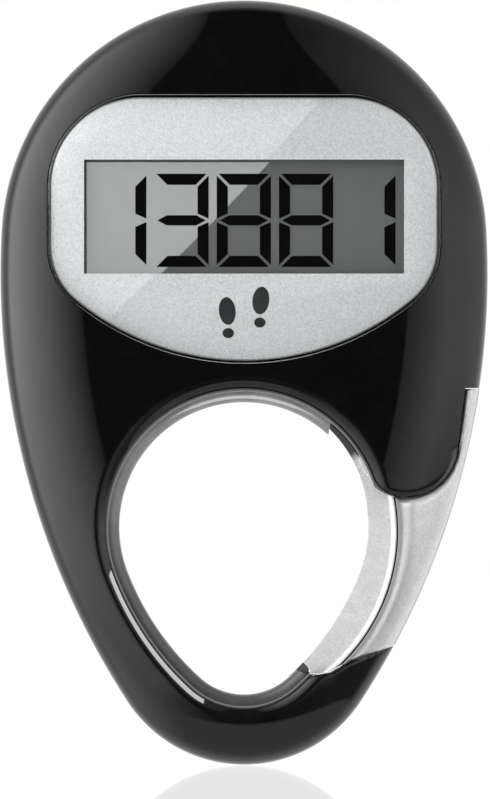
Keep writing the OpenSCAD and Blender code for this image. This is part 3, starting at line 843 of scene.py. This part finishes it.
plate = new_piece("silver_face_plate", face_plate_blank(), "case", ["face_plate"])
satin, tree = material("satin_silver_plate")
at = add(tree, "ShaderNodeTexCoord").outputs["Object"]
fine = add(tree, "ShaderNodeTexNoise", {"Vector": at, "Scale": 5200.0, "Detail": 3.0,
                                        "Roughness": 0.7})
tint = two_tones(tree, fine.outputs["Fac"], 0.38, (0.76, 0.76, 0.765), 0.62,
                 (0.98, 0.98, 0.985))
rough = add(tree, "ShaderNodeMapRange", {"Value": fine.outputs["Fac"], "To Min": 0.38,
                                         "To Max": 0.55})
grain = add(tree, "ShaderNodeBump", {"Height": fine.outputs["Fac"], "Strength": 0.15,
                                     "Distance": 0.00003})
shade(tree, {"Base Color": tint, "Metallic": 0.15, "Roughness": rough.outputs[0],
             "Normal": grain.outputs[0]})
give(plate, satin)


# Display: two sheets of glass with a grey polariser, and five digits of
# seven dark segments each, which show a count.
digit_h = 9.72
digit_w = 5.65
digit_pitch = 6.5
digit_right = 15.8
digit_low = 27.2
stroke = 1.15
segment_gap = 0.2
count = "13881"
lit = {"1": "bc", "3": "abcdg", "8": "abcdefg"}


def segment_outline(name):
    """Outline of one of a digit's seven segments, a to g."""
    w, h, s, g = digit_w, digit_h, stroke, segment_gap
    mid = h / 2
    top = [(g, h), (w - g, h), (w - s - g, h - s), (s + g, h - s)]
    end, shoulder, half_s = 0.3, 1.3, 0.53
    middle = [(end, mid), (shoulder, mid + half_s), (w - shoulder, mid + half_s), (w - end, mid),
              (w - shoulder, mid - half_s), (shoulder, mid - half_s)]
    right = [(w, h - g), (w, mid + 0.18), (w - s, mid + 0.7), (w - s, h - s - g)]
    if name == "a":
        return top
    if name == "d":
        return [(x, h - z) for x, z in top]
    if name == "g":
        return middle
    if name in "bc":
        return right if name == "b" else [(x, h - z) for x, z in right]
    mirrored = [(w - x, z) for x, z in right]
    return mirrored if name == "f" else [(x, h - z) for x, z in mirrored]


segments = []
for k, digit in enumerate(count):
    left = digit_right - digit_w - digit_pitch * (len(count) - 1 - k)
    for name in lit[digit]:
        shape = [(left + x, digit_low + z) for x, z in segment_outline(name)]
        segments.append(prism(shape, glass_y - 0.03, glass_y - 0.005))
digits = new_piece("display_digits", joined(segments), "case")
give(digits, marked("display_black", (0.0008, 0.0008, 0.001), (0.002, 0.002, 0.0022),
                    50.0, 0.0, 0.3, 0.4, {"Specular IOR Level": 0.04}))

polariser, tree = material("grey_polariser")
film = skin_node(tree, 2500.0, 0.0, 0.30, 0.34)
at = add(tree, "ShaderNodeTexCoord").outputs["Object"]
haze = add(tree, "ShaderNodeTexNoise", {"Vector": at, "Scale": 1500.0, "Detail": 3.0})
tint = add(tree, "ShaderNodeMix", {"Factor": haze.outputs["Fac"], 6: (0.165, 0.166, 0.166, 1),
                                   7: (0.18, 0.181, 0.181, 1)}, data_type='RGBA')
shade(tree, {"Base Color": tint.outputs[2], "Roughness": film.outputs["Roughness"],
             "Normal": film.outputs["Normal"]})
for name in ("lcd_front_glass", "lcd_rear_glass"):
    give(nodes[name], polariser)
give(nodes["lcd_reflector"], satin)


# Printed mark: two shoe soles in dark ink under the window, a plain sign for
# counted steps.
def oval(x, z, w, h, turn=0.0, steps=40):
    """Oval of width w and height h, turned by some degrees."""
    points = [(w / 2 * cosd(a), h / 2 * sind(a)) for a in np.linspace(0, 360, steps + 1)[:-1]]
    return [(x + p * cosd(turn) - q * sind(turn), z + p * sind(turn) + q * cosd(turn))
            for p, q in points]


ink_front, ink_back = plate_y - 0.012, plate_y + 0.01
ovals = []
for side, rise in ((-1, 0.0), (1, 1.1)):
    x, z = 1.75 * side, plate_bot + 4.6 + rise
    sole = oval(x, z + 0.55, 1.75, 2.9, -6 * side)
    heel = oval(x - 0.1 * side, z - 1.75, 1.2, 1.05)
    ovals += [prism(sole, ink_front, ink_back), prism(heel, ink_front, ink_back)]
mark = new_piece("step_mark_print", joined(ovals), "case")
give(mark, marked("dark_grey_ink", (0.02, 0.02, 0.022), (0.035, 0.035, 0.037),
                  500.0, 0.02, 0.4, 0.55))


# Parts inside the pod: a green board with a black resin drop over the chip,
# a sensor, a crystal can, chip parts and the reset switch, all soldered on.
def metal(name, dark, light, low, high, scale=600.0):
    """Plain or plated metal with fine rolling marks."""
    return marked(name, dark, light, scale, 0.04, low, high, {"Metallic": 1.0})


def give_all(names, look):
    """One material for several of the CAD's pieces."""
    for name in names:
        give(nodes[name], look)


give_all(["circuit_board"], marked("green_solder_mask", (0.010, 0.075, 0.030),
                                   (0.016, 0.11, 0.045), 900.0, 0.05, 0.22, 0.35))
give_all(["controller_blob"], marked("black_resin", (0.008, 0.008, 0.008),
                                     (0.014, 0.014, 0.014), 250.0, 0.05, 0.18, 0.3))
give_all(["motion_sensor", "chip_resistors"],
         marked("chip_black", (0.015, 0.015, 0.016), (0.03, 0.03, 0.03), 900.0, 0.1, 0.45, 0.6))
give_all(["chip_capacitors"], marked("ceramic_tan", (0.36, 0.24, 0.13), (0.45, 0.31, 0.18),
                                     900.0, 0.08, 0.5, 0.6))
give_all(["timing_crystal", "reset_switch"],
         metal("drawn_can_metal", (0.55, 0.56, 0.58), (0.68, 0.69, 0.70), 0.2, 0.35))
give_all(["display_holder", "plate_adhesive", "reset_plunger"],
         marked("matt_black_moulding", (0.012, 0.012, 0.013), (0.022, 0.022, 0.023),
                300.0, 0.05, 0.35, 0.5))
give_all(["zebra_strips"], marked("pink_silicone", (0.55, 0.22, 0.26), (0.62, 0.28, 0.32),
                                  700.0, 0.06, 0.5, 0.65))


# Battery and its door: a steel button cell in a white holder, gold-plated
# springs, and a black door with a coin slot, sealed by a rubber ring.
give_all(["battery_holder"], marked("white_moulding", (0.62, 0.61, 0.58), (0.70, 0.69, 0.66),
                                    300.0, 0.04, 0.35, 0.5))
give_all(["battery_cell"], metal("brushed_cell_steel", (0.58, 0.58, 0.59), (0.70, 0.70, 0.71),
                                 0.22, 0.36, 1500.0))
give_all(["battery_plus_contact", "battery_minus_contact"],
         metal("gold_plated_spring", (0.66, 0.50, 0.20), (0.78, 0.62, 0.30), 0.18, 0.3))
give_all(["battery_door"], marked("satin_black_door", (0.006, 0.006, 0.0065),
                                  (0.012, 0.012, 0.013), 500.0, 0.10, 0.22, 0.34))
give_all(["door_seal"], marked("black_rubber", (0.012, 0.012, 0.012), (0.02, 0.02, 0.02),
                               800.0, 0.1, 0.6, 0.75))


# Reset button, pivot pin, spring and screws: a grey rubbery button, and
# steel parts that are turned, wound or rolled.
give_all(["reset_button"], marked("grey_button", (0.16, 0.16, 0.17), (0.22, 0.22, 0.23),
                                  600.0, 0.08, 0.4, 0.55))
give_all(["gate_pivot_pin", "gate_spring"],
         metal("bright_steel", (0.50, 0.50, 0.51), (0.62, 0.62, 0.63), 0.2, 0.35, 1200.0))
give_all(["case_screws", "board_screws"],
         metal("blackened_screw_steel", (0.10, 0.10, 0.105), (0.20, 0.20, 0.21), 0.28, 0.42,
               1200.0))


# Floor and light: a glossy white table in a plain room, with a bright wall of
# light on the left, a weaker one on the right, and lamps for single pieces.
floor_z = cad_low[2] - 0.00002
floor_bm = bmesh.new()
bmesh.ops.create_grid(floor_bm, x_segments=1, y_segments=1, size=0.4,
                      matrix=Matrix.Translation((0, 0, floor_z)))
floor_mesh = bpy.data.meshes.new("white_table")
floor_bm.to_mesh(floor_mesh)
floor_bm.free()
floor = bpy.data.objects.new("white_table", floor_mesh)
bpy.context.scene.collection.objects.link(floor)
table, tree = material("white_table_top")
table_skin = skin_node(tree, 20.0, 0.0, 0.02, 0.03)
glow = add(tree, "ShaderNodeEmission", {"Color": (1, 1, 1, 1), "Strength": 1.06})
mirror = add(tree, "ShaderNodeBsdfGlossy", {"Color": (1, 1, 1, 1),
                                            "Roughness": table_skin.outputs["Roughness"]})
seen = add(tree, "ShaderNodeMixShader", {0: 0.26, 1: glow.outputs[0], 2: mirror.outputs[0]})
unseen = add(tree, "ShaderNodeBsdfTransparent", {"Color": (1, 1, 1, 1)})
path = add(tree, "ShaderNodeLightPath")
wire(tree, add(tree, "ShaderNodeMixShader", {0: path.outputs["Is Camera Ray"],
                                             1: unseen.outputs[0], 2: seen.outputs[0]}))
give(floor, table)

world = bpy.data.worlds.new("studio")
bpy.context.scene.world = world
world.use_nodes = True
tree = world.node_tree
tree.nodes.clear()
ray = add(tree, "ShaderNodeLightPath")
where = add(tree, "ShaderNodeTexCoord")
parts = add(tree, "ShaderNodeSeparateXYZ", {"Vector": where.outputs["Generated"]})
x_dir, y_dir, z_dir = parts.outputs[0], parts.outputs[1], parts.outputs[2]


def ramp(source, low, high, at_low, at_high, smooth=False):
    """Value that goes from at_low to at_high between two values of a source."""
    kind = 'SMOOTHSTEP' if smooth else 'LINEAR'
    made = add(tree, "ShaderNodeMapRange", {"Value": source, "From Min": low, "From Max": high,
                                            "To Min": at_low, "To Max": at_high},
               interpolation_type=kind)
    return made.outputs[0]


# both walls are brighter further out and weaker low down
def product(*factors):
    """Several values multiplied together."""
    total = factors[0]
    for factor in factors[1:]:
        total = maths(tree, 'MULTIPLY', total, factor)
    return total


left_wall = product(ramp(x_dir, -0.150, -0.158, 0, 1), ramp(x_dir, -0.15, -0.95, 0.15, 4.2),
                    ramp(z_dir, -0.45, -0.05, 0.38, 1.0))
right_wall = product(ramp(x_dir, 0.165, 0.173, 0, 1), ramp(x_dir, 0.16, 0.6, 0.28, 1.25),
                     ramp(z_dir, 0.1, 0.8, 1.0, 0.4), ramp(z_dir, -0.40, -0.10, 0.12, 1.0))
table_light = ramp(z_dir, -0.56, -0.60, 0, 0.62)
ahead = maths(tree, 'MAXIMUM', maths(tree, 'MAXIMUM', left_wall, right_wall), table_light)
ahead = maths(tree, 'ADD', ahead, 0.03)
behind = ramp(y_dir, -0.05, 0.35, 0, 1, True)
mixed = add(tree, "ShaderNodeMix", {0: behind, 2: ahead, 3: 1.0}, data_type='FLOAT')
room = add(tree, "ShaderNodeBackground", {"Color": (1, 1, 1, 1), "Strength": mixed.outputs[0]})
white = add(tree, "ShaderNodeBackground", {"Color": (1, 1, 1, 1), "Strength": 1.0})
wire(tree, add(tree, "ShaderNodeMixShader", {0: ray.outputs["Is Camera Ray"], 1: room.outputs[0],
                                             2: white.outputs[0]}), "ShaderNodeOutputWorld")


def only_for(lamp, pieces):
    """Lets a lamp light some pieces only."""
    lit_pieces = bpy.data.collections.new(lamp.name + "_receivers")
    for piece in pieces:
        lit_pieces.objects.link(piece)
    lamp.light_linking.receiver_collection = lit_pieces


def soft_box(name, centre, across, up, width, height, radiance, pieces):
    """Rectangle of light with given axes, for some pieces only."""
    data = bpy.data.lights.new(name, 'AREA')
    data.shape = 'RECTANGLE'
    data.size = width
    data.size_y = height
    data.energy = radiance * math.pi * width * height
    box = bpy.data.objects.new(name, data)
    across, up = Vector(across).normalized(), Vector(up).normalized()
    face = across.cross(up)
    turn = Matrix((across, up, face)).transposed().to_4x4()
    box.matrix_world = Matrix.Translation(centre) @ turn
    bpy.context.scene.collection.objects.link(box)
    only_for(box, pieces)


def spot(name, place, half_angle, watts, piece):
    """Hard-edged cone of light along +Y, for one piece only."""
    data = bpy.data.lights.new(name, 'SPOT')
    data.energy = watts
    data.spot_size = 2 * math.radians(half_angle)
    data.spot_blend = 0.0
    data.shadow_soft_size = 0.0
    lamp = bpy.data.objects.new(name, data)
    lamp.location = place
    lamp.rotation_euler = (math.radians(90), 0, 0)
    bpy.context.scene.collection.objects.link(lamp)
    only_for(lamp, [piece])


# the two cones end along one slanting line across the face plate and the display
cone_place, cone_angle = (-0.2183, -0.9047, 0.2415), 18.43
spot("plate_light", cone_place, cone_angle, 4.0, plate)
spot("display_light", cone_place, cone_angle, 48.0, nodes["lcd_front_glass"])
soft_box("rim_glare", (0.30, -0.26, 0.23), (-0.6, 0.0, 0.8), (0.0, -1.0, 0.0),
         0.30, 0.56, 12.0, [eye_rim])
soft_box("silver_fill", (-0.30, -0.60, 0.20), (0.6, -0.3, 0.0), (-0.134, -0.268, 0.95),
         0.40, 0.40, 1.6, [gate_cover, nodes["gate_lever"]])
soft_box("ridge_glow", (0.0, -0.25, -0.30), (1.0, 0.0, 0.0), (0.0, -0.77, 0.64),
         0.30, 0.30, 8.0, [eye_ridge])
